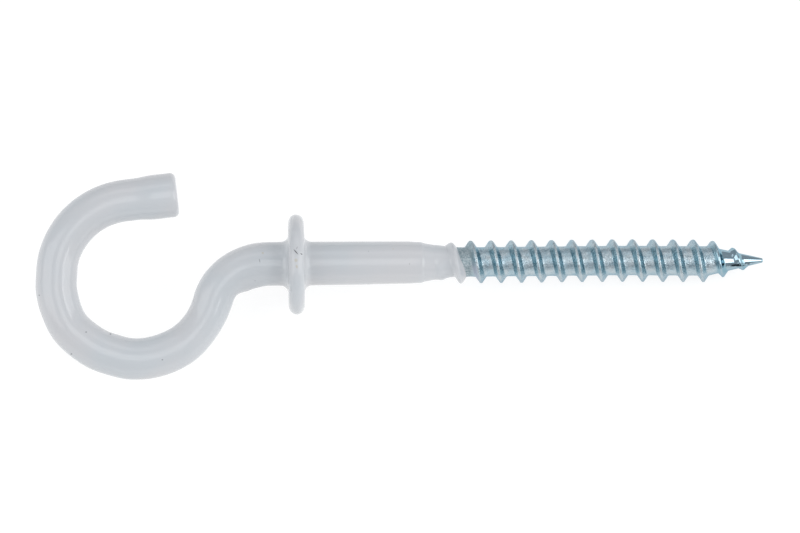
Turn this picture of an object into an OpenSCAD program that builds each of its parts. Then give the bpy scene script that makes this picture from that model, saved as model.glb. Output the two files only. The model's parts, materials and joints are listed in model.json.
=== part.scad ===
// Screw hook: one length of steel wire, bent to an open eye, upset to a collar and rolled
// to a wood-screw thread, then dipped in white plastic from the eye to the first thread turn.
//
// The pieces are drawn in the hook's own directions: the screw's axis is X and points to the
// screw's point, the eye lies in the XY plane and opens towards +Y, and X = 0 is the collar's
// seat, the face that meets the wall. lay_down() then turns them as the hook lies on a table.

/* [Wire and collar] */
// Diameter of the bare wire
wire_d = 5; // [4:0.1:6]
// Diameter of the steel collar
collar_d = 13; // [10:0.1:18]
// Thickness of the steel collar
collar_t = 1.5; // [1:0.1:3]
// Rounding of the steel collar's rim
collar_round = 0.5; // [0.2:0.05:0.7]

/* [Bends] */
// Radius of the eye, at the middle of the wire
eye_r = 11; // [9:0.1:16]
// Radius of the neck's bend, at the middle of the wire
neck_r = 7.3; // [5:0.1:11]
// Angle through which the neck turns away from the screw's axis
neck_angle = 71.3; // [55:0.1:85]
// Straight wire between the steel collar and the neck's bend
neck_straight = 3.8; // [2:0.1:10]
// Straight wire between the neck's bend and the eye
link_length = 0.5; // [0.2:0.1:6]
// Straight wire at the free end of the eye
tail_length = 6.6; // [3:0.1:12]
// Angle at which the free end runs away from the screw's axis
tail_angle = 6; // [0:0.5:30]

/* [Shank and point] */
// From the collar's seat to where the shank narrows
shank_length = 15.5; // [10:0.1:40]
// From the collar's seat to the tip of the screw
screw_length = 63.2; // [50:0.1:110]
// Length over which the shank narrows to the thread's root
shank_taper = 2.6; // [1:0.1:5]
// Length of the tapered point
point_length = 7; // [5:0.1:10]
// Diameter of the blunt tip
tip_d = 0.6; // [0.3:0.1:1]

/* [Thread] */
// Diameter over the thread's crests
thread_d = 6; // [5.2:0.1:7]
// Diameter at the thread's root
root_d = 4.05; // [3.2:0.05:4.3]
// Distance from one crest to the next
pitch = 2.79; // [2.2:0.01:3.4]
// Width of the thread's ridge at its foot
ridge_foot = 1.4; // [1:0.05:1.7]
// Width of the thread's ridge at its crest
ridge_crest = 0.28; // [0.15:0.01:0.5]
// How many turns the ridge takes to reach its full height
run_in_turns = 1.3; // [0.5:0.1:2]

/* [Plastic coat] */
// Thickness on the bent wire
coat_hook = 0.35; // [0.2:0.05:0.6]
// Thickness of the bead that gathers round the free end
coat_bead = 0.45; // [0.2:0.05:0.7]
// Length of that bead
bead_length = 3.5; // [1:0.1:6]
// Rounding of that bead's edge at the free end
bead_round = 0.75; // [0.3:0.05:1]
// Thickness on the straight shank
coat_shank = 0.5; // [0.2:0.05:0.6]
// Thickness on the collar's two faces and its rim
coat_collar = 0.4; // [0.2:0.05:0.6]
// Rounding of the coated collar's rim
coat_round = 0.9; // [0.5:0.05:1.1]
// Rounding at the foot of the collar
coat_fillet = 0.6; // [0.3:0.05:1]
// Thickness at the coat's edge, on the thread
coat_edge = 0.12; // [0.08:0.01:0.2]
// How far the coat reaches over the threaded end, past the shank's taper
coat_over_thread = 3.4; // [3:0.1:6]
// Slant of the coat's edge
coat_edge_slant = 11; // [0:1:20]

/* [Hidden] */

$fn = 48;
overlap = 0.3;                  // how far joined solids reach into each other
bend_overlap = 0.2;             // how far a straight length reaches into a bend
bend_step = 0.01;               // how much thinner it is there, so that the two meet at a clear edge
thread_steps = 24;              // flats in one turn of the thread
thread_shoulder = 0.05;         // how far the shank's end stands out round the thread's root

wire_r = wire_d / 2;
collar_r = collar_d / 2;
root_r = root_d / 2;
thread_r = thread_d / 2;
tip_r = tip_d / 2;

hook_coat_r = wire_r + coat_hook;
bead_r = wire_r + coat_bead;
shank_coat_r = wire_r + coat_shank;
collar_coat_r = collar_r + coat_collar;

// Stations along the screw's axis
seat_steel = -coat_collar;
collar_back = seat_steel - collar_t;
coat_back = collar_back - coat_collar;
neck_start = collar_back - neck_straight;
thread_start = shank_length + shank_taper;
point_start = screw_length - point_length;
coat_end = thread_start + coat_over_thread;

// Roundings that their walls limit
steel_rim = min(collar_round, 0.45 * collar_t);
coat_rim = min(coat_round, 0.45 * (collar_t + 2 * coat_collar));

// Middles of the two bends, which curve opposite ways and meet at the link
neck_middle = [neck_start, -neck_r];
away = [-sin(neck_angle), cos(neck_angle)];
onward = [-cos(neck_angle), -sin(neck_angle)];
link_start = neck_middle + neck_r * away;
link_end = link_start + link_length * onward;
eye_middle = link_end + eye_r * away;
eye_sweep = 180 + neck_angle - tail_angle;
tail_start = eye_middle + eye_r * [-sin(tail_angle), cos(tail_angle)];

// How it lies: on the last full crest of its thread, the seat's edge of the collar and the
// back of the eye. nose_down is the screw's slope, where collar and crest are level.
rim_r = collar_coat_r - coat_rim;
nose_down =
    atan((rim_r - thread_r) / (point_start + coat_rim))
    + asin(coat_rim / norm([rim_r - thread_r, point_start + coat_rim]));
table_below = rim_r * cos(nose_down) + coat_rim - coat_rim * sin(nose_down);
// The eye's lowest wire reaches the same table: a square root gives the sine of the roll.
eye_drop = hook_coat_r - table_below + sin(nose_down) * eye_middle.x;
eye_a = pow(eye_r, 2) - pow(eye_middle.y, 2);
eye_b = eye_middle.y * eye_drop;
eye_c = pow(eye_r * sin(nose_down), 2) - pow(eye_drop, 2);
roll = asin((-eye_b + sqrt(pow(eye_b, 2) - eye_a * eye_c)) / eye_a / cos(nose_down));

// A cylinder that runs along +X from station `from` to station `to`
module rod(from, to, r) {
    translate([from, 0, 0]) rotate([0, 90, 0]) cylinder(h = to - from, r = r);
}

// A cone that runs along +X between two stations
module taper(from, to, r_from, r_to) {
    translate([from, 0, 0]) rotate([0, 90, 0]) cylinder(h = to - from, r1 = r_from, r2 = r_to);
}

// The solid that a half section, drawn as station against radius, sweeps round the X axis
module turned() {
    rotate([0, 90, 0]) rotate_extrude() rotate([0, 0, 90]) mirror([0, 1]) children();
}

// A bend of round wire in the XY plane about a middle, from angle `from` through `sweep`
module bend(middle, radius, r, from, sweep) {
    translate([middle.x, middle.y, 0])
        rotate([0, 0, from])
            rotate_extrude(angle = sweep) translate([radius, 0]) circle(r = r);
}

// Half section of a disc between two stations, with both edges of its rim rounded
module rounded_disc(from, to, r, edge) {
    translate([from, 0]) square([to - from, r - edge]);
    translate([from + edge, 0]) square([to - from - 2 * edge, r]);
    translate([from + edge, r - edge]) circle(r = edge);
    translate([to - edge, r - edge]) circle(r = edge);
}

// Half section of a fillet at the foot of a step, on the side that `way` (1 or -1) gives
module foot_fillet(at, r, size, way) {
    translate([at, r])
        mirror([way < 0 ? 1 : 0, 0])
            difference() {
                translate([-overlap, -overlap]) square(size + overlap);
                translate([size, size]) circle(r = size);
            }
}

// The bent wire at radius r, from the collar's back round to the free end. The end has a
// radius, a length and a rounded edge of its own.
module bent_wire(r, end_r, end_length, end_round) {
    straight_r = r - bend_step;
    rod(neck_start - bend_overlap, collar_back + collar_t / 2, straight_r);
    bend(neck_middle, neck_r, r, 90, neck_angle);
    translate([link_end.x, link_end.y, 0])
        rotate([0, 0, neck_angle]) rod(-bend_overlap, link_length + bend_overlap, straight_r);
    bend(eye_middle, eye_r, r, neck_angle - 90, -eye_sweep);
    translate([tail_start.x, tail_start.y, 0])
        rotate([0, 0, tail_angle]) {
            rod(-bend_overlap, tail_length - bead_length, straight_r);
            turned() free_end(tail_length - bead_length, end_length, end_r, end_round);
        }
}

// Half section of the free end between two stations, with its edge rounded
module free_end(from, to, r, edge) {
    translate([from - overlap, 0]) square([to - edge - from + overlap, r]);
    translate([from - overlap, 0]) square([to - from + overlap, r - edge]);
    translate([to - edge, r - edge]) circle(r = edge);
}

// Radius of the core at a station: parallel, then tapering to the blunt tip
function core_at(x) =
    x < point_start ? root_r : root_r + (tip_r - root_r) * (x - point_start) / point_length;

// Height of the ridge over the core: it runs in over its first turns and fades on the point
function ridge_at(x) =
    (thread_r - root_r)
    * min(1, max(0, (x - thread_start) / (run_in_turns * pitch)))
    * min(1, max(0, (screw_length - x) / point_length));

// Thickness of the plastic over the thread, which thins out towards the coat's edge
function coat_at(x) =
    coat_shank
    + (coat_edge - coat_shank) * min(1, max(0, (x - thread_start) / (coat_over_thread - pitch / 2)));

// A closed right-handed threaded solid up to `to`, bare or with the plastic's thickness on it.
// Its ridge is a strip of four points, foot, crest, crest and foot, that winds round the core.
// A ring inside the shank and a ring at the far end close the strip.
module threaded(to, end_r, coated) {
    feet = [0, (ridge_foot - ridge_crest) / 2, (ridge_foot + ridge_crest) / 2, ridge_foot];
    on_crest = [0, 1, 1, 0];
    m = len(feet);
    n = thread_steps;
    first = thread_start - pitch / 2;
    last = floor((to - first - ridge_foot) / pitch) * n - 1;
    function radius(x, p) = core_at(x) + on_crest[p] * ridge_at(x) + (coated ? coat_at(x) : 0);
    function ring_point(x, r, k) = [x, r * cos(360 * k / n), r * sin(360 * k / n)];
    function ridge_point(k, p) =
        let (x = first + pitch * k / n + feet[p]) ring_point(x, radius(x, p), k);

    start_ring = [for (k = [0:n - 1]) ring_point(first - overlap, root_r - thread_shoulder, k)];
    ridge = [for (k = [0:last]) for (p = [0:m - 1]) ridge_point(k, p)];
    end_ring = [for (k = [0:n - 1]) ring_point(to, end_r, k + 0.5)];
    function s(k) = k % n;
    function v(k, p) = n + m * k + p;
    function e(k) = n + m * (last + 1) + k % n;
    function quad(a, b, c, d) = [[a, b, c], [a, c, d]];

    side = concat(
        [for (k = [0:n - 1]) each quad(s(k), s(k + 1), v(k + 1, 0), v(k, 0))],
        [for (k = [0:last - 1]) for (p = [0:m - 2])
            each quad(v(k, p), v(k + 1, p), v(k + 1, p + 1), v(k, p + 1))],
        [for (k = [0:last - n - 1]) each quad(v(k, m - 1), v(k + 1, m - 1), v(k + 1 + n, 0), v(k + n, 0))],
        [for (k = [last - n:last - 1]) each quad(v(k, m - 1), v(k + 1, m - 1), e(k + 1), e(k))]);
    steps = concat(
        [for (p = [0:m - 2]) [s(0), v(0, p), v(0, p + 1)]],
        [[s(0), v(0, m - 1), v(n, 0)]],
        [for (p = [0:m - 2]) [e(last), v(last, p + 1), v(last, p)]],
        [[e(last), v(last, 0), v(last - n, m - 1)]]);
    caps = [[for (k = [n - 1:-1:0]) s(k)], [for (k = [0:n - 1]) e(k)]];
    polyhedron(
        concat(start_ring, ridge, end_ring),
        [for (face = concat(side, steps, caps)) [for (i = [len(face) - 1:-1:0]) face[i]]]);
}

// The steel, drawn in the hook's own directions
module steel_form() {
    bent_wire(wire_r, wire_r, tail_length, steel_rim);
    turned() rounded_disc(collar_back, seat_steel, collar_r, steel_rim);
    rod(collar_back + collar_t / 2, shank_length, wire_r);
    taper(shank_length, thread_start, wire_r, root_r + thread_shoulder);
    threaded(screw_length, tip_r, false);
}

// The outside of the plastic, drawn in the hook's own directions
module coat_form() {
    bent_wire(hook_coat_r, bead_r, tail_length + coat_hook, bead_round);
    turned() {
        rounded_disc(coat_back, 0, collar_coat_r, coat_rim);
        foot_fillet(coat_back, hook_coat_r, coat_fillet, -1);
        foot_fillet(0, shank_coat_r, coat_fillet, 1);
    }
    rod(-coat_collar, shank_length, shank_coat_r);
    taper(shank_length, thread_start, shank_coat_r, root_r + thread_shoulder + coat_shank);
    intersection() {
        threaded(coat_end + 2 * pitch, root_r, true);
        translate([coat_end, 0, 0])
            rotate([0, 0, coat_edge_slant])
                translate([-coat_end, -thread_d, -thread_d]) cube([coat_end, 2 * thread_d, 2 * thread_d]);
    }
}

// Turns the hook's own directions to those it has as it lies, about the collar's seat
module lay_down() {
    rotate([0, nose_down, 0]) rotate([roll, 0, 0]) children();
}

module steel_hook() {
    color([0.62, 0.70, 0.74]) lay_down() steel_form();
}

module plastic_coat() {
    color([0.93, 0.94, 0.96]) lay_down()
        difference() {
            coat_form();
            steel_form();
        }
}

steel_hook();
plastic_coat();
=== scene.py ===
"""A screw hook: bent wire with a collar and a wood-screw thread, dipped in white plastic.

Every piece is drawn in millimetres in the hook's own directions: the screw's axis is X and
points to the tip, the eye lies in the XY plane and opens towards +Y, and X = 0 is the face of
the collar that meets the wall. lay_down() then gives it its real size and its place as it lies.
"""

import json
from math import cos, exp, pi, radians, sin, tau

import bmesh
import bpy
from mathutils import Matrix, Vector


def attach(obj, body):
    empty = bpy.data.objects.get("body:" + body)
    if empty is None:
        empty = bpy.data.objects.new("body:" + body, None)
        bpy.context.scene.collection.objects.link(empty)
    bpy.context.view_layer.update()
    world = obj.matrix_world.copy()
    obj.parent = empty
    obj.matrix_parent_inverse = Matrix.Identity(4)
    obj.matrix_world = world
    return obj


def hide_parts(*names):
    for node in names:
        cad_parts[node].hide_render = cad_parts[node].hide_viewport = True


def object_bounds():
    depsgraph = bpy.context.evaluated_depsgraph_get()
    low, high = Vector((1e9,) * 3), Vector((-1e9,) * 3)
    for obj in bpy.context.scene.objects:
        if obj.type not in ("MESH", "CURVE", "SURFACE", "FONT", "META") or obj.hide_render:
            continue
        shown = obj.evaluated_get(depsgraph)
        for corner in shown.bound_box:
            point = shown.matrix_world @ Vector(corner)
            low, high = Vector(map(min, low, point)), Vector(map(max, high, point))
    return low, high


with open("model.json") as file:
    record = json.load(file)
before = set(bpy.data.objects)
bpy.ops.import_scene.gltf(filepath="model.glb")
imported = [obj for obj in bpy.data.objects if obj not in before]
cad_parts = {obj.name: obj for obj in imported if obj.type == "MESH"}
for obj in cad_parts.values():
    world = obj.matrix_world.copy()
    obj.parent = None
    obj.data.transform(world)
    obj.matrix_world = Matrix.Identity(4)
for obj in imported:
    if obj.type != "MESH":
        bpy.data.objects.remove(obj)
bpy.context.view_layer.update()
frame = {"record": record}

# ---------------------------------------------------------------- sizes, in millimetres

MM = 0.001                      # one drawing unit, in metres
SIDES = 64                      # sides of a round section

WIRE_R = 2.5                    # bare wire
EYE_R = 11.0                    # eye, at the middle of the wire
EYE_SWEEP = 245.3               # degrees of wire round the eye
NECK_R = 7.3                    # bend between the screw and the eye
NECK_SWEEP = 71.3
NECK_STRAIGHT = 3.5             # straight wire between the collar and the neck
LINK = 0.5                      # straight wire between the two bends
TAIL = 6.63                     # straight wire at the eye's free end

COLLAR_BACK = -2.2              # the coated collar lies between here and 0
COLLAR_R = 6.9
COLLAR_RIM = 1.25               # how far in from the rim its rounding starts
COLLAR_FOOT = 1.0               # fillet at the collar's foot, on the screw's side
BACK_FOOT = 1.05                # and on the eye's side
COLLAR_DROP = 0.12              # the collar sits this much off the wire's middle
STEEL_COLLAR_R = 6.5
COAT = 0.35                     # plastic on the bent wire
COLLAR_COAT = 0.4               # plastic on the collar
COAT_WALL = 0.3                 # how deep the plastic goes in, where it isn't at its edge
END_EDGE = 0.75                 # rounding of the coated free end

SHANK_R = 3.02                  # coated shank at the collar, and where it starts to narrow
SHANK_END_R = 2.89
SHANK_END = 15.6
SKIRT_START = 15.8              # from here the plastic is a skirt that hugs taper and thread
SKIRT_R = 3.08                  # its first shape, a tube just clear of the thread
SKIRT_THICK = 0.37              # its plastic on the taper, which thins out to the edge
SKIRT_THIN = 0.03
SKIRT_END = 21.65               # its edge, at the middle of the screw
SKIRT_SLANT = 14                # how many degrees its edge leans
SKIRT_RINGS = 80
SLANT_RINGS = 50                # the slant fades over this many of them
SHANK_RINGS = 12
SKIRT_IN = (SHANK_END, SKIRT_START + 0.3)   # stretch over which it begins to hug the steel
THINS = (18.0, 20.8)            # stretch over which its plastic thins out,
WALL_THINS = (18.0, 20.5)       # its inside follows,
WALL_LOST = 0.92                # losing this share of its depth,
RAGGED = (19.5, 21.5)           # and its edge gets uneven
SHOULDER = (16.5, 2.27)         # station and radius where the steel's taper gets gentler

PITCH = 2.79
ROOT_R = 2.025
CREST_R = 2.94
CREST_AT = 22.95                # a crest passes the eye's side of the screw (+Y) here
RIDGE_FOOT = 1.45               # width of the thread's ridge at its foot and its crest
RIDGE_CREST = 0.24
THREAD_STEPS = 72               # steps in one turn of the thread
RUN_IN = (17.9, 21.5)           # where the ridge rises out of the shank
FADE = (56.0, 64.0)             # where it sinks into the point
RUN_OUT = (60.7, 61.9)          # and where the last of it ends
POINT_START = 55.8
TIP = 63.2
TIP_R = 0.3
TIP_CAP = (0.07, 0.6)           # length of the blunt tip's edge, and how much of it is left
POINT_SAG = 0.17                # how far the point droops from the line of the screw
SAG = (42, 58)                  # where it droops
KEEN = (56, 59)                 # where the ridge's crest turns keener
ROLLED = (18.0, 20.0)           # the unevenness of rolled steel sets in here,
SMOOTH_POINT = (57.5, 56.0)     # and ends here, before the smooth point


def between(x, start, end):
    """How far x has come from start to end, 0 to 1."""
    return min(1.0, max(0.0, (x - start) / (end - start)))


def smooth(t):
    """The same way from 0 to 1, with soft ends."""
    return t * t * (3 - 2 * t)


def swells(at, places):
    """Sum of soft swellings, each given as its place, its height and its width."""
    return sum(height * exp(-(((at - place) / width) ** 2)) for place, height, width in places)


# ---------------------------------------------------------------- the bent wire's line

# Lengths along the wire from the collar's back to the end of each stretch
NECK_TO = NECK_STRAIGHT + NECK_R * radians(NECK_SWEEP)
LINK_TO = NECK_TO + LINK
EYE_TO = LINK_TO + EYE_R * radians(EYE_SWEEP)
WIRE_END = EYE_TO + TAIL

# How far the eye strays outwards from a true circle: place along the wire, height, width
EYE_STRAYS = [(19.7, 0.08, 2.3), (30.1, -0.11, 1.6), (37.4, 0.21, 2.3), (44.9, -0.12, 1.4),
              (62.0, -0.10, 6.0)]
# Where the coated wire is thicker or thinner: place along the wire, height, width
COAT_SWELLS = [(8.0, -0.04, 3.0), (15.5, -0.20, 4.5), (38.0, -0.05, 3.0), (48.5, -0.03, 2.0),
               (62.0, 0.035, 6.0)]
DRIP = 0.16                     # extra plastic behind the collar
DRIP_FADE = (2.5, 6.5)
BEAD = 0.19                     # extra plastic round the free end
BEAD_RISE = (EYE_TO + 1.2, EYE_TO + 3.8)


def polar(angle, radius=1.0):
    return Vector((radius * cos(radians(angle)), radius * sin(radians(angle)), 0))


NECK_MIDDLE = Vector((COLLAR_BACK - NECK_STRAIGHT, -NECK_R, 0))
LINK_FROM = NECK_MIDDLE + polar(90 + NECK_SWEEP, NECK_R)
EYE_FROM = LINK_FROM + polar(180 + NECK_SWEEP, LINK)
EYE_MIDDLE = EYE_FROM + polar(90 + NECK_SWEEP, EYE_R)
TAIL_FROM = EYE_MIDDLE + polar(NECK_SWEEP - 90 - EYE_SWEEP, EYE_R + swells(EYE_TO, EYE_STRAYS))


def wire_at(s):
    """Middle of the wire and its heading in degrees, a length s from the collar's back."""
    if s < NECK_STRAIGHT:
        return Vector((COLLAR_BACK - s, 0, 0)), 180
    if s < NECK_TO:
        turned = (s - NECK_STRAIGHT) / radians(NECK_R)
        return NECK_MIDDLE + polar(90 + turned, NECK_R), 180 + turned
    if s < LINK_TO:
        return LINK_FROM + polar(180 + NECK_SWEEP, s - NECK_TO), 180 + NECK_SWEEP
    if s < EYE_TO:
        turned = (s - LINK_TO) / radians(EYE_R)
        out = EYE_R + swells(s, EYE_STRAYS)
        return EYE_MIDDLE + polar(NECK_SWEEP - 90 - turned, out), 180 + NECK_SWEEP - turned
    return TAIL_FROM + polar(180 + NECK_SWEEP - EYE_SWEEP, s - EYE_TO), 180 + NECK_SWEEP - EYE_SWEEP


def coat_radius(s):
    """Outside of the plastic on the bent wire."""
    drip = DRIP * (1 - smooth(between(s, *DRIP_FADE)))
    bead = BEAD * smooth(between(s, *BEAD_RISE))
    return WIRE_R + COAT + drip + bead + swells(s, COAT_SWELLS)


# ---------------------------------------------------------------- drawing

def station(x, radius, drop=0.0, lean=0.0):
    """A round section square to the screw's axis, or leaning a little, seen from the tip."""
    return Vector((x, -drop, 0)), 180 + lean, radius


def arc(x, radius, wide, high, start, end, steps):
    """Points of an ellipse's arc about (x, radius), as pairs of station and radius."""
    turns = [radians(start + (end - start) * i / steps) for i in range(steps + 1)]
    return [(x + wide * cos(t), radius + high * sin(t)) for t in turns]


def wire_stations(radius_at, end, step):
    """Sections of the bent wire from the collar's back to the length `end`."""
    count = round(end / step)
    lengths = [end * i / count for i in range(1, count + 1)]
    return [(*wire_at(s), radius_at(s)) for s in lengths]


def end_stations(radius, end, edge):
    """Sections round the edge of the free end, down to its flat face."""
    arcs = arc(end - edge, radius - edge, edge, edge, 90, 0, 6)[1:]
    return [(*wire_at(s), r) for s, r in arcs]


def draw_out(stations):
    """Extrude the selected end through sections: the first is where it stands now."""
    (at, heading, radius), *rest = stations
    for new_at, new_heading, new_radius in rest:
        bpy.ops.mesh.extrude_region_move(TRANSFORM_OT_translate={"value": new_at - at})
        if new_heading != heading:
            bpy.ops.transform.rotate(
                value=radians(heading - new_heading), orient_axis="Z", center_override=new_at)
        size = new_radius / radius
        bpy.ops.transform.resize(value=(size, size, size), center_override=new_at)
        at, heading, radius = new_at, new_heading, new_radius


def select(piece, chosen):
    """In edit mode, select the points for which chosen(co) is true, and nothing else."""
    bpy.ops.mesh.select_all(action="DESELECT")
    bm = bmesh.from_edit_mesh(piece.data)
    for v in bm.verts:
        v.select_set(chosen(v.co))
    bm.select_flush(True)
    bmesh.update_edit_mesh(piece.data)


def weigh(piece, name, weight):
    """Paint a weight on every point of a piece."""
    group = piece.vertex_groups.new(name=name)
    for v in piece.data.vertices:
        group.add([v.index], weight(v.co), "REPLACE")


def finish_with(piece, kind, **settings):
    """Add a modifier and apply it."""
    bpy.ops.object.select_all(action="DESELECT")
    bpy.context.view_layer.objects.active = piece
    piece.select_set(True)
    modifier = piece.modifiers.new(kind.lower(), kind)
    for key, value in settings.items():
        setattr(modifier, key, value)
    bpy.ops.object.modifier_apply(modifier=modifier.name)


def clouds(name, size):
    """Soft unevenness for a Displace modifier."""
    texture = bpy.data.textures.new(name, "CLOUDS")
    texture.noise_scale = size
    return texture


def radius_of(co):
    return (co.y ** 2 + co.z ** 2) ** 0.5


# ---------------------------------------------------------------- where the hook lies

mounts = {m["name"]: m for m in frame["record"]["mounts"]}
SCREW_AXIS = Vector(mounts["collar_seat"]["axis"]).normalized()
EYE_NORMAL = Vector(mounts["hanging_eye"]["axis"]).normalized()
EYE_SIDE = EYE_NORMAL.cross(SCREW_AXIS).normalized()
EYE_NORMAL = SCREW_AXIS.cross(EYE_SIDE)
LAID = Matrix((SCREW_AXIS, EYE_SIDE, EYE_NORMAL)).transposed()


def lay_down(piece):
    """Give a piece its real size and turn it as the hook lies."""
    bpy.ops.object.select_all(action="DESELECT")
    bpy.context.view_layer.objects.active = piece
    piece.select_set(True)
    piece.rotation_euler = LAID.to_euler()
    piece.scale = (MM, MM, MM)
    bpy.ops.object.transform_apply(location=True, rotation=True, scale=True)
    bpy.ops.object.shade_smooth()


# ---------------------------------------------------------------- the steel

def ridge_profile():
    """One pitch of the thread's outline, from the middle of a root over the ridge."""
    foot, crest = RIDGE_FOOT / 2, RIDGE_CREST / 2
    # Half of it, as pairs of distance from the crest's middle and share of the ridge's height
    half = [(PITCH / 2, 0), (1.1, 0), (foot + 0.1, 0.015), (foot, 0.05), (foot - 0.08, 0.15),
            (crest + 0.12, 0.83), (crest + 0.05, 0.93), (crest, 0.975), (crest / 2, 1.0)]
    up = [(-u, h) for u, h in half]
    down = [(u, h) for u, h in reversed(half)]
    return [(u, ROOT_R + h * (CREST_R - ROOT_R)) for u, h in up + down]


def ridge_height(x):
    """Share of the ridge's full height that it has at a station."""
    return (smooth(between(x, *RUN_IN)) * (1 - between(x, *FADE))
            * (1 - smooth(between(x, *RUN_OUT))))


def core_radius(x):
    return ROOT_R + (TIP_R - ROOT_R) * between(x, POINT_START, TIP)


def sag(x):
    """How far the screw has drooped at a station, which it does towards its point."""
    return POINT_SAG * smooth(between(x, *SAG))


def threaded_length():
    """The rolled thread: one pitch of outline, screwed along, then shaped at both its ends."""
    first = CREST_AT - 4 * PITCH
    outline = ridge_profile()
    mesh = bpy.data.meshes.new("zinc_plated_wire")
    mesh.from_pydata([(first + u, r, 0) for u, r in outline],
                     [(i, i + 1) for i in range(len(outline) - 1)], [])
    piece = bpy.data.objects.new("zinc_plated_wire", mesh)
    bpy.context.scene.collection.objects.link(piece)
    turns = int((TIP - first) / PITCH) + 2
    finish_with(piece, "SCREW", axis="X", angle=tau, screw_offset=PITCH, iterations=turns,
                steps=THREAD_STEPS, render_steps=THREAD_STEPS, use_merge_vertices=True,
                merge_threshold=1e-4)
    bpy.ops.object.mode_set(mode="EDIT")
    bpy.ops.mesh.select_all(action="SELECT")
    bpy.ops.mesh.remove_doubles(threshold=0.002)
    for x, away in ((RUN_IN[0], -1), (TIP, 1)):
        bpy.ops.mesh.select_all(action="SELECT")
        bpy.ops.mesh.bisect(plane_co=(x, 0, 0), plane_no=(away, 0, 0), clear_outer=True,
                            threshold=1e-5)
    bpy.ops.object.mode_set(mode="OBJECT")
    for v in mesh.vertices:
        r = radius_of(v.co)
        share = between(r, ROOT_R, CREST_R) ** (1 + between(v.co.x, *KEEN))
        shaped = core_radius(v.co.x) + share * ridge_height(v.co.x) * (CREST_R - ROOT_R)
        v.co.y = v.co.y * shaped / r - sag(v.co.x)
        v.co.z *= shaped / r
    return piece


def steel():
    piece = threaded_length()
    bpy.ops.object.mode_set(mode="EDIT")
    bpy.ops.mesh.select_mode(type="VERT")
    start = RUN_IN[0]
    select(piece, lambda co: co.x < start + 1e-3)
    back = COLLAR_BACK + COLLAR_COAT
    draw_out([
        station(start, ROOT_R), station(*SHOULDER), station(SHANK_END, WIRE_R),
        station(-COLLAR_COAT, WIRE_R),
        station(-COLLAR_COAT, STEEL_COLLAR_R), station(back, STEEL_COLLAR_R),
        station(back, WIRE_R), station(COLLAR_BACK, WIRE_R),
        *wire_stations(lambda s: WIRE_R, WIRE_END, 0.5)])
    bpy.ops.mesh.edge_face_add()
    select(piece, lambda co: co.x > TIP - 1e-3)
    cap, left = TIP_CAP
    bpy.ops.mesh.extrude_region_move(TRANSFORM_OT_translate={"value": (cap, 0, 0)})
    bpy.ops.transform.resize(value=(1, left, left), center_override=(TIP + cap, -sag(TIP), 0))
    bpy.ops.mesh.edge_face_add()
    bpy.ops.mesh.select_all(action="SELECT")
    bpy.ops.mesh.normals_make_consistent(inside=False)
    bpy.ops.object.mode_set(mode="OBJECT")
    weigh(piece, "rolled", lambda co: between(co.x, *ROLLED) * between(co.x, *SMOOTH_POINT))
    finish_with(piece, "DISPLACE", texture=clouds("rolled_steel", 0.7), strength=0.07,
                mid_level=0.5, vertex_group="rolled")
    return piece


# ---------------------------------------------------------------- the plastic

def coat_outline():
    """Sections of the plastic's outside, from its edge on the thread to the free end."""
    sections = []
    for i in range(SKIRT_RINGS + 1):
        x = SKIRT_END + (SKIRT_START - SKIRT_END) * i / SKIRT_RINGS
        lean = SKIRT_SLANT * (1 - between(i, 0, SLANT_RINGS))
        radius = SHANK_END_R + (SKIRT_R - SHANK_END_R) * between(x, SKIRT_START, SKIRT_START + 1)
        sections.append(station(x, radius, lean=lean))
    for i in range(1, SHANK_RINGS + 1):
        t = i / SHANK_RINGS
        x = SHANK_END + (COLLAR_FOOT + 0.2 - SHANK_END) * t
        sections.append(station(x, SHANK_END_R + (SHANK_R - SHANK_END_R) * t))
    half = -COLLAR_BACK / 2
    face = COLLAR_R - COLLAR_RIM
    seat = arc(COLLAR_FOOT, SHANK_R + COLLAR_FOOT, COLLAR_FOOT, COLLAR_FOOT, 270, 180, 8)
    rim = arc(-half, face, half, COLLAR_RIM, 0, 180, 28)
    back = arc(COLLAR_BACK - BACK_FOOT, SHANK_R + BACK_FOOT, BACK_FOOT, BACK_FOOT, 0, -90, 8)
    for profile in (seat, rim, back):
        for x, r in profile:
            away = between(r, SHANK_R, SHANK_R + COLLAR_FOOT)
            sections.append(station(x, r, drop=COLLAR_DROP * away))
    past_foot = COLLAR_BACK - BACK_FOOT - 0.1
    end = WIRE_END + COAT
    wire = [w for w in wire_stations(coat_radius, end - END_EDGE, 0.45) if w[0].x < past_foot]
    return sections + wire + end_stations(coat_radius(end), end, END_EDGE)


# Where the skin inside the neck is pushed: degrees round the bend, distance from the wire's
# middle, how far it is pushed away from the bend's middle, and the reach of the push
NECK_PUSHES = [(22, 3.0, -0.36, 2.3), (50, 2.85, 0.2, 1.4)]


def push(piece, turn, depth, height, reach):
    """Grab the points of the skin at one place inside the neck and push them."""
    place = NECK_MIDDLE + polar(90 + turn, NECK_R - depth)
    select(piece, lambda co: (co - place).length < 0.35)
    bpy.ops.transform.translate(
        value=polar(90 + turn, height), use_proportional_edit=True,
        proportional_edit_falloff="SMOOTH", proportional_size=reach,
        use_proportional_connected=True)


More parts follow.
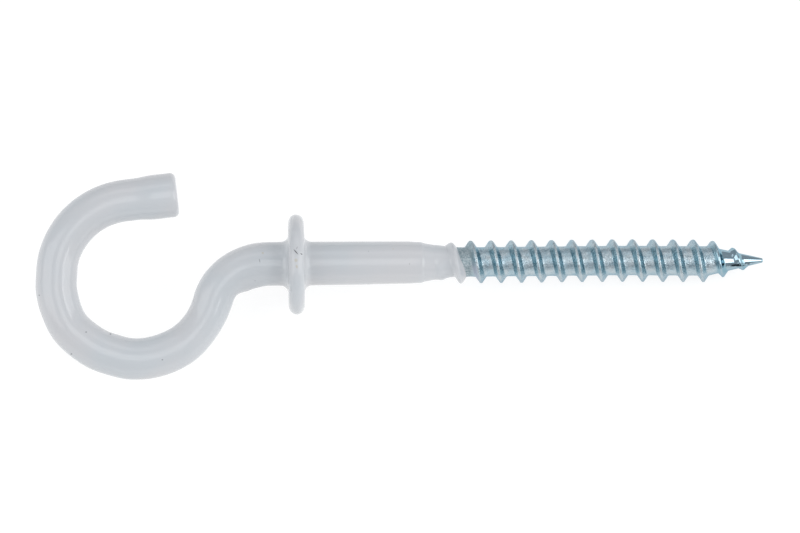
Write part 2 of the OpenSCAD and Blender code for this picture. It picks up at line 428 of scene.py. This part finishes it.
def plastic_coat(thread):
    outline = coat_outline()
    at, heading, radius = outline[0]
    bpy.ops.object.select_all(action="DESELECT")
    bpy.ops.mesh.primitive_circle_add(
        vertices=SIDES, radius=radius, fill_type="NOTHING", location=at,
        rotation=(0, pi / 2, radians(heading - 180)))
    piece = bpy.context.object
    piece.name = piece.data.name = "white_dipped_coat"
    bpy.ops.object.transform_apply(location=True, rotation=True, scale=True)
    bpy.ops.object.mode_set(mode="EDIT")
    bpy.ops.mesh.select_mode(type="VERT")
    bpy.ops.mesh.select_all(action="SELECT")
    draw_out(outline)
    bpy.ops.mesh.edge_face_add()
    for turn, depth, height, reach in NECK_PUSHES:
        push(piece, turn, depth, height, reach)
    bpy.ops.mesh.select_all(action="SELECT")
    bpy.ops.mesh.normals_make_consistent(inside=False)
    bpy.ops.object.mode_set(mode="OBJECT")

    weigh(piece, "edge", lambda co: smooth(between(co.x, *RAGGED)))
    weigh(piece, "skirt", lambda co: between(co.x, *SKIRT_IN))
    finish_with(piece, "DISPLACE", texture=clouds("ragged_edge", 0.9), strength=0.35,
                mid_level=0.5, direction="X", vertex_group="edge")
    wrap = {"target": thread, "wrap_method": "PROJECT", "use_negative_direction": True,
            "use_positive_direction": False, "wrap_mode": "ABOVE_SURFACE"}
    finish_with(piece, "SHRINKWRAP", offset=SKIRT_THIN, vertex_group="skirt", **wrap)
    finish_with(piece, "SMOOTH", factor=0.5, iterations=3, vertex_group="skirt")
    weigh(piece, "thick", lambda co: between(co.x, *SKIRT_IN) * (1 - smooth(between(co.x, *THINS))))
    finish_with(piece, "DISPLACE", strength=SKIRT_THICK, mid_level=0.0, vertex_group="thick")
    finish_with(piece, "SMOOTH", factor=0.5, iterations=8, vertex_group="skirt")
    finish_with(piece, "SHRINKWRAP", target=thread, wrap_method="NEAREST_SURFACEPOINT",
                wrap_mode="OUTSIDE", offset=SKIRT_THIN, vertex_group="skirt")
    finish_with(piece, "DISPLACE", texture=clouds("dipped_plastic", 6.0), strength=0.06,
                mid_level=0.5)
    weigh(piece, "wall", lambda co: 1 - WALL_LOST * between(co.x, *WALL_THINS))
    finish_with(piece, "SOLIDIFY", thickness=COAT_WALL, offset=-1, vertex_group="wall",
                use_rim=True, thickness_vertex_group=0.0)
    return piece


# ---------------------------------------------------------------- finishes

class Finish:
    """A node material with a few short ways to add to it."""

    def __init__(self, name):
        self.material = bpy.data.materials.new(name)
        self.material.use_nodes = True
        self.tree = self.material.node_tree
        self.shader = self.tree.nodes["Principled BSDF"]
        coordinates = self.add("ShaderNodeTexCoord")
        mapping = self.add("ShaderNodeMapping")
        mapping.inputs["Rotation"].default_value = LAID.inverted().to_euler()
        mapping.inputs["Scale"].default_value = (1 / MM, 1 / MM, 1 / MM)
        self.link(coordinates.outputs["Object"], mapping.inputs["Vector"])
        self.place = mapping.outputs["Vector"]

    def add(self, kind, **settings):
        node = self.tree.nodes.new(kind)
        for key, value in settings.items():
            setattr(node, key, value)
        return node

    def link(self, output, target):
        self.tree.links.new(output, target)

    def noise(self, scale, detail=2.0, rough=0.5, distortion=0.0):
        node = self.add("ShaderNodeTexNoise")
        node.inputs["Scale"].default_value = scale
        node.inputs["Detail"].default_value = detail
        node.inputs["Roughness"].default_value = rough
        node.inputs["Distortion"].default_value = distortion
        self.link(self.place, node.inputs["Vector"])
        return node.outputs["Fac"]

    def ranged(self, value, low, high, to_low=0.0, to_high=1.0, soft=False):
        node = self.add("ShaderNodeMapRange")
        if soft:
            node.interpolation_type = "SMOOTHSTEP"
        node.inputs["From Min"].default_value = low
        node.inputs["From Max"].default_value = high
        node.inputs["To Min"].default_value = to_low
        node.inputs["To Max"].default_value = to_high
        self.link(value, node.inputs["Value"])
        return node.outputs["Result"]

    def math(self, operation, a, b):
        node = self.add("ShaderNodeMath", operation=operation)
        for socket, value in zip(node.inputs, (a, b)):
            if isinstance(value, (int, float)):
                socket.default_value = value
            else:
                self.link(value, socket)
        return node.outputs["Value"]

    def mix(self, share, a, b):
        """Blend two colours, each a tuple or an output."""
        node = self.add("ShaderNodeMix", data_type="RGBA")
        self.link(share, node.inputs["Factor"])
        for name, value in (("A", a), ("B", b)):
            socket = [s for s in node.inputs if s.name == name and s.type == "RGBA"][0]
            if isinstance(value, tuple):
                socket.default_value = (*value, 1.0)
            else:
                self.link(value, socket)
        return [s for s in node.outputs if s.type == "RGBA"][0]

    def axis(self, which):
        node = self.add("ShaderNodeSeparateXYZ")
        self.link(self.place, node.inputs["Vector"])
        return node.outputs[which]

    def vector(self, operation, a, b=None):
        """Vector maths on two vectors, each a tuple or an output."""
        node = self.add("ShaderNodeVectorMath", operation=operation)
        for socket, value in zip(node.inputs, (a, b)):
            if isinstance(value, (tuple, Vector)):
                socket.default_value = value
            elif value is not None:
                self.link(value, socket)
        return node.outputs["Value" if operation in ("LENGTH", "DOT_PRODUCT") else "Vector"]

    def out_from_screw(self):
        """Distance from the screw's axis."""
        return self.vector("LENGTH", self.vector("MULTIPLY", self.place, (0, 1, 1)))

    def faces(self, way):
        """How much the surface faces a way: 1 squarely, 0 edge on, -1 away."""
        coordinates = self.add("ShaderNodeTexCoord")
        return self.vector("DOT_PRODUCT", coordinates.outputs["Normal"], way)

    def spot(self, place, size, turn):
        """1 in a spot about a place, fading to 0 outside it; unequal half sizes make a streak."""
        node = self.add("ShaderNodeMapping", vector_type="TEXTURE")
        node.inputs["Location"].default_value = place
        node.inputs["Rotation"].default_value = (0, 0, radians(turn))
        node.inputs["Scale"].default_value = size
        self.link(self.place, node.inputs["Vector"])
        return self.ranged(self.vector("LENGTH", node.outputs["Vector"]), 0.5, 1, 1.0, 0.0)

    def bump(self, height, strength, distance):
        node = self.add("ShaderNodeBump")
        node.inputs["Strength"].default_value = strength
        node.inputs["Distance"].default_value = distance
        self.link(height, node.inputs["Height"])
        return node.outputs["Normal"]

    def set(self, **sockets):
        for name, value in sockets.items():
            socket = self.shader.inputs[name.replace("_", " ")]
            if isinstance(value, (int, float, tuple)):
                socket.default_value = value
            else:
                self.link(value, socket)


# Colours of the zinc, from its darker blotches to the film beside the plastic
ZINC_DARK, ZINC_LIGHT, ZINC_POINT = (0.39, 0.51, 0.57), (0.52, 0.59, 0.62), (0.36, 0.48, 0.54)
# Teal painted shade for the ridge's flanks, and a painted highlight for its crest
FLANK_PAINTED_SHADE, CREST_PAINTED_HIGHLIGHT = (0.16, 0.38, 0.46), (0.56, 0.54, 0.53)
FILM_DARK, FILM_LIGHT, SMEARED = (0.22, 0.31, 0.34), (0.62, 0.68, 0.70), (0.56, 0.59, 0.66)
# A painted dark reflection on the point, and where it lies
POINT_PAINTED_DARK_REFLECTION = (0.01, 0.018, 0.024)
POINT_DARK_REFLECTION_SPOT = ((60.2, -0.75, 1.2), (2.6, 0.27, 1.2), 5)   # place, half sizes, turn in degrees
# Colours of the plastic and of the marks on it
WHITE_BLUISH, WHITE_WARM = (0.58, 0.605, 0.625), (0.615, 0.615, 0.625)
DARK, GREY, TAN = (0.05, 0.055, 0.06), (0.25, 0.26, 0.27), (0.52, 0.45, 0.30)
# Marks on the plastic: place, half sizes, turn in degrees, strength, colour
MARKS = [
    ((-1.2, 1.6, 6.5), (0.55, 0.08, 2), -50, 1.0, DARK),
    ((-0.45, 1.3, 6.5), (0.2, 0.08, 2), -35, 1.0, DARK),
    ((-1.05, 2.15, 6.5), (0.25, 0.05, 2), 65, 0.5, DARK),
    ((-1.2, 0.45, 6.7), (0.28, 0.3, 2), 0, 0.45, TAN),
    ((-1.1, -0.4, 6.7), (0.18, 0.3, 2), 10, 0.5, TAN),
    ((-6.15, 0.45, 2.8), (0.08, 0.35, 2), 12, 0.7, GREY),
    ((-6.8, -2.3, 1.6), (0.2, 0.05, 2), 0, 0.5, GREY),
    ((-5.7, 1.5, 2.4), (0.2, 0.16, 2), 0, 0.5, TAN),
    ((14.4, -0.2, 2.9), (0.1, 0.16, 2), 0, 0.35, GREY),
    ((8.8, 1.6, 2.4), (0.1, 0.1, 2), 0, 0.35, GREY),
    ((12.2, 1.9, 2.2), (0.1, 0.12, 2), 0, 0.3, TAN),
    ((-30.0, -9.1, 2.5), (0.15, 0.12, 3), 0, 0.85, GREY),
    ((-26.7, -9.4, 2.0), (0.17, 0.14, 3), 0, 1.0, GREY),
    ((-19.6, -13.0, 2.5), (0.15, 0.12, 3), 0, 0.85, GREY),
    ((-36.4, -4.0, 1.0), (0.13, 0.13, 3), 0, 0.8, GREY),
    ((-32.1, -12.1, 1.5), (0.17, 0.14, 3), 30, 0.8, GREY)]


def zinc_finish():
    """Bright blue-passivated zinc on rolled steel, with a dull film next to the plastic."""
    f = Finish("blue_zinc_plate")
    x, y = f.axis("X"), f.axis("Y")

    # Blotches and the grain of rolled steel, which end at the smooth point
    rolled = f.ranged(x, 57.4, 56.0, soft=True)
    grain = f.noise(2.6, detail=5.0, rough=0.7, distortion=0.8)
    blotch = f.noise(0.9, detail=3.0, rough=0.6)
    colour = f.mix(f.ranged(blotch, 0.35, 0.65), ZINC_DARK, ZINC_LIGHT)
    colour = f.mix(rolled, ZINC_POINT, colour)

    # Painted shade on the flanks of the ridge, teal where they face along the screw, for a dark
    # reflection; a painted highlight on its crest
    along = f.faces(SCREW_AXIS)
    flank_shade_mask = f.ranged(f.math("ABSOLUTE", along, 0), 0.40, 0.80, soft=True)
    low = f.ranged(f.math("ABSOLUTE", y, 0), 2.1, 1.5, soft=True)
    colour = f.mix(f.math("MULTIPLY", f.math("MULTIPLY", flank_shade_mask, low), 0.45), colour,
                   FLANK_PAINTED_SHADE)
    # A light line painted on the crest, a painted highlight
    crest = f.ranged(f.out_from_screw(), CREST_R - 0.1, CREST_R - 0.03)
    colour = f.mix(f.math("MULTIPLY", crest, 0.25), colour, CREST_PAINTED_HIGHLIGHT)

    # The film beside the plastic, with a smear on the first flank
    mottle = f.ranged(f.noise(6.0, detail=3.0, rough=0.6, distortion=1.6), 0.40, 0.60)
    film = f.ranged(x, 23.6, 22.6, soft=True)
    colour = f.mix(film, colour, f.mix(mottle, FILM_DARK, FILM_LIGHT))
    smear = f.math("MULTIPLY", f.ranged(along, -0.3, -0.6),
                   f.math("MULTIPLY", f.ranged(y, 0.2, -0.9), f.ranged(x, 24.8, 24.0)))
    colour = f.mix(f.math("MULTIPLY", smear, 0.8), colour, SMEARED)

    # A painted dark reflection on the smooth point, a streak just below its highlight
    painted_dark_streak = f.math("MULTIPLY", f.spot(*POINT_DARK_REFLECTION_SPOT),
                  f.ranged(f.noise(2.2, detail=3.0), 0.36, 0.48))
    colour = f.mix(painted_dark_streak, colour, POINT_PAINTED_DARK_REFLECTION)

    rough = f.ranged(f.noise(1.7, detail=4.0, rough=0.7), 0.42, 0.6, 0.38, 0.12)
    rough = f.math("ADD", f.math("MULTIPLY", rough, f.ranged(rolled, 0, 1, 0.25, 1.0)),
                   f.math("MULTIPLY", f.math("MAXIMUM", film, smear), 0.3))
    f.set(Base_Color=colour, Metallic=1.0, Roughness=rough, Specular_Tint=(0.6, 0.72, 0.8, 1),
          Normal=f.bump(f.math("MULTIPLY", grain, rolled), 0.9, 0.00008))
    return f.material


def plastic_finish():
    """White plastic from a dip, softly glossy, with faint clouding, specks and scratches."""
    f = Finish("white_dipped_plastic")
    cloud = f.noise(0.12, detail=3.0, rough=0.5)
    colour = f.mix(f.ranged(cloud, 0.35, 0.65), WHITE_BLUISH, WHITE_WARM)
    for place, size, turn, strength, tint in MARKS:
        colour = f.mix(f.math("MULTIPLY", f.spot(place, size, turn), strength), colour, tint)
    f.set(Base_Color=colour, Roughness=f.ranged(f.noise(0.5, detail=3.0), 0.3, 0.7, 0.13, 0.19),
          IOR=1.5, Normal=f.bump(f.noise(0.3, detail=2.0), 0.06, 0.0002))
    return f.material


def paint(piece, material):
    piece.data.materials.clear()
    piece.data.materials.append(material)


def floor_finish():
    material = bpy.data.materials.new("pale_floor")
    material.use_nodes = True
    shader = material.node_tree.nodes["Principled BSDF"]
    shader.inputs["Base Color"].default_value = (0.25, 0.25, 0.25, 1)
    shader.inputs["Roughness"].default_value = 0.8
    shader.inputs["Specular IOR Level"].default_value = 0.2
    shader.inputs["Emission Color"].default_value = (1, 1, 1, 1)
    shader.inputs["Emission Strength"].default_value = 0.82
    return material


# ---------------------------------------------------------------- room, light and camera

VIEW_WIDTH = 110.2              # width of the view at the hook, in millimetres
VIEW_MIDDLE = (13.18, -0.53)    # what the camera looks at, in the hook's own directions
VIEW_TURN = 0.55                # the screw's axis runs up to the right by this many degrees
VIEW_PITCH = 1.7                # the tip is turned away from the camera by this many degrees
VIEW_DISTANCE = 700
FLOOR_SIZE = 3                  # side of the floor, in metres
FLOOR_GAP = 0.00005             # between the hook and the floor, in metres

# Soft lights: name, direction from the hook, distance and size in metres, power in watts
LIGHTS = [
    ("over_camera", (0, 0.1, 1), 0.9, (0.3, 0.5), 0.68),
    ("front_right", (0.73, 0, 1), 0.9, (0.16, 0.6), 1.1),
    ("left_side", (-1.4, 0.05, 1), 0.85, (0.8, 0.6), 2.3),
    ("right_side", (2.4, 0.05, 1), 0.9, (0.85, 0.6), 2.8),
    ("top_side", (0, 1.2, 0.8), 0.9, (1.0, 0.35), 0.85)]


def in_place(x, y, z):
    """A point in the hook's own directions, as it lies, in metres."""
    return LAID @ Vector((x, y, z)) * MM


def camera():
    data = bpy.data.cameras.new("camera")
    data.sensor_width = 36
    data.lens = 36 * VIEW_DISTANCE / VIEW_WIDTH
    data.clip_start = 0.01
    back = Vector((-sin(radians(VIEW_PITCH)), 0, cos(radians(VIEW_PITCH))))
    up = Vector((sin(radians(VIEW_TURN)), cos(radians(VIEW_TURN)), 0))
    right = up.cross(back).normalized()
    up = back.cross(right)
    turn = LAID @ Matrix((right, up, back)).transposed()
    look = bpy.data.objects.new("camera", data)
    target = Vector((*VIEW_MIDDLE, 0))
    look.matrix_world = Matrix.LocRotScale(
        in_place(*(target + back * VIEW_DISTANCE)), turn.to_quaternion(), None)
    bpy.context.scene.collection.objects.link(look)
    bpy.context.scene.camera = look


def softbox(name, direction, distance, size, power):
    """A rectangular light that faces the hook, placed and turned in the hook's own directions."""
    data = bpy.data.lights.new(name, "AREA")
    data.shape = "RECTANGLE"
    data.size, data.size_y = size
    data.energy = power
    light = bpy.data.objects.new(name, data)
    way = Vector(direction).normalized()
    across = Vector((0, 1, 0)).cross(way).normalized()
    turn = LAID @ Matrix((across, way.cross(across), way)).transposed()
    place = in_place(*VIEW_MIDDLE, 0) + LAID @ way * distance
    light.matrix_world = Matrix.LocRotScale(place, turn.to_quaternion(), None)
    bpy.context.scene.collection.objects.link(light)


def room():
    bpy.ops.object.select_all(action="DESELECT")
    bpy.ops.mesh.primitive_plane_add(
        size=FLOOR_SIZE, location=(0, 0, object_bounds()[0][2] - FLOOR_GAP))
    floor = bpy.context.object
    floor.name = "floor"
    paint(floor, floor_finish())
    world = bpy.data.worlds.new("studio")
    world.use_nodes = True
    background = world.node_tree.nodes["Background"]
    background.inputs["Color"].default_value = (0.90, 0.94, 1.0, 1)
    background.inputs["Strength"].default_value = 0.50
    bpy.context.scene.world = world
    for light in LIGHTS:
        softbox(*light)


# ---------------------------------------------------------------- putting it together

bpy.context.scene.view_settings.view_transform = "Standard"
camera()
wire = steel()
coat = plastic_coat(wire)
for piece, node, slot, finish in (
        (wire, "steel_hook", "zinc_plated_steel", zinc_finish()),
        (coat, "plastic_coat", "white_plastic_coat", plastic_finish())):
    lay_down(piece)
    paint(piece, finish)
    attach(piece, "root")
    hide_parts(node)
room()
